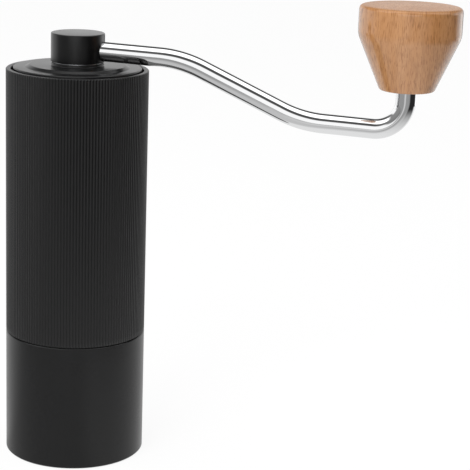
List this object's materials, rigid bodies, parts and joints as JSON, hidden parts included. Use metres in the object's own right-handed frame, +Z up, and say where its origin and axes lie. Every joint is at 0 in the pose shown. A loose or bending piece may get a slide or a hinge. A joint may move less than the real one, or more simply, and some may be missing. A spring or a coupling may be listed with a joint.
{
  "type": "hand crank coffee grinder",
  "caption": "Slim cylindrical hand coffee grinder with a ribbed black sleeve, screw-on catch cup, conical burrs, lift-off lid, chrome crank and turned wooden knob.",
  "frame": {"origin": "centre of the base pad's underside, on the drive shaft's axis", "axes": "+Z up along the drive shaft, +X along the crank at rest"},
  "size_m": [0.1639, 0.052, 0.1752],
  "materials": {
    "black_anodised": "satin black anodised",
    "chrome": "polished",
    "beech": "clear semi-gloss lacquer",
    "burr_steel": "machined and ground",
    "bearing_steel": "ground",
    "spring_steel": "plain",
    "brass": "turned",
    "black_rubber": "matt",
    "grey_silicone": "matt",
    "black_plastic": "moulded",
    "white_bush_plastic": "turned acetal"
  },
  "bodies": {
    "body": {"grip_sleeve": "black_anodised", "inner_barrel": "black_plastic", "ring_burr": "burr_steel", "ring_burr_screws": "bearing_steel", "lower_funnel_bridge": "black_plastic", "lower_bearing_outer_race": "bearing_steel", "lower_hub_clip": "spring_steel", "upper_bridge": "black_plastic", "upper_bearing_outer_race": "bearing_steel", "upper_hub_clip": "spring_steel"},
    "drive": {"drive_shaft": "bearing_steel", "lower_bearing_inner_race": "bearing_steel", "upper_bearing_inner_race": "bearing_steel", "lower_shaft_clip": "spring_steel", "upper_shaft_clip": "spring_steel", "spring_washer": "bearing_steel", "burr_spring": "spring_steel"},
    "lower_ball_train": {"lower_bearing_balls": "bearing_steel", "lower_bearing_cage": "brass"},
    "upper_ball_train": {"upper_bearing_balls": "bearing_steel", "upper_bearing_cage": "brass"},
    "burr": {"inner_burr": "burr_steel", "click_plate": "bearing_steel", "click_balls": "bearing_steel", "click_springs": "spring_steel", "click_plate_screws": "bearing_steel"},
    "dial": {"adjuster_dial": "black_anodised"},
    "lid": {"lid": "black_anodised", "lid_seal": "grey_silicone", "lid_bush": "white_bush_plastic"},
    "crank": {"crank_hub": "black_anodised", "crank_core": "bearing_steel", "crank_rod": "chrome", "rod_grub_screw": "spring_steel", "hub_washer": "bearing_steel", "core_clip": "spring_steel", "knob_washer": "bearing_steel", "spindle_clip": "spring_steel"},
    "knob": {"knob": "beech", "knob_insert": "brass"},
    "pad": {"base_pad": "black_rubber"},
    "cup": {"catch_cup": "black_anodised"}
  },
  "joints": [
    {"name": "lid_lift", "type": "slide", "parent": "body", "child": "lid", "axis": [0, 0, 1], "range_m": [0, 0.035]},
    {"name": "crank_turn", "type": "hinge", "parent": "lid", "child": "crank", "pos_m": [0, 0, 0.1486], "axis": [0, 0, 1], "continuous": true},
    {"name": "knob_spin", "type": "hinge", "parent": "crank", "child": "knob", "pos_m": [0.1198, 0, 0.16], "axis": [0, 0, 1], "continuous": true},
    {"name": "shaft_turn", "type": "hinge", "parent": "body", "child": "drive", "pos_m": [0, 0, 0.1], "axis": [0, 0, 1], "continuous": true},
    {"name": "lower_balls_turn", "type": "hinge", "parent": "body", "child": "lower_ball_train", "pos_m": [0, 0, 0.065], "axis": [0, 0, 1], "continuous": true},
    {"name": "upper_balls_turn", "type": "hinge", "parent": "body", "child": "upper_ball_train", "pos_m": [0, 0, 0.1235], "axis": [0, 0, 1], "continuous": true},
    {"name": "dial_turn", "type": "hinge", "parent": "burr", "child": "dial", "pos_m": [0, 0, 0.0344], "axis": [0, 0, -1], "range_deg": [-331, 721]},
    {"name": "burr_slide", "type": "slide", "parent": "drive", "child": "burr", "axis": [0, 0, -1], "range_m": [-0.00092, 0.002], "deforming": ["burr_spring"]},
    {"name": "cup_unscrew", "type": "hinge", "parent": "pad", "child": "cup", "pos_m": [0, 0, 0.02], "axis": [0, 0, -1], "range_deg": [0, 1440]},
    {"name": "cup_drop", "type": "slide", "parent": "body", "child": "pad", "axis": [0, 0, -1], "range_m": [0, 0.00801]}
  ],
  "couplings": [
    {"joint": "shaft_turn", "follows": "crank_turn", "ratio": 1},
    {"joint": "lower_balls_turn", "follows": "crank_turn", "ratio": 0.4},
    {"joint": "upper_balls_turn", "follows": "crank_turn", "ratio": 0.4},
    {"joint": "dial_turn", "follows": "burr_slide", "rad_per_m": 6283.2},
    {"joint": "cup_drop", "follows": "cup_unscrew", "m_per_rad": 0.00031831}
  ]
}
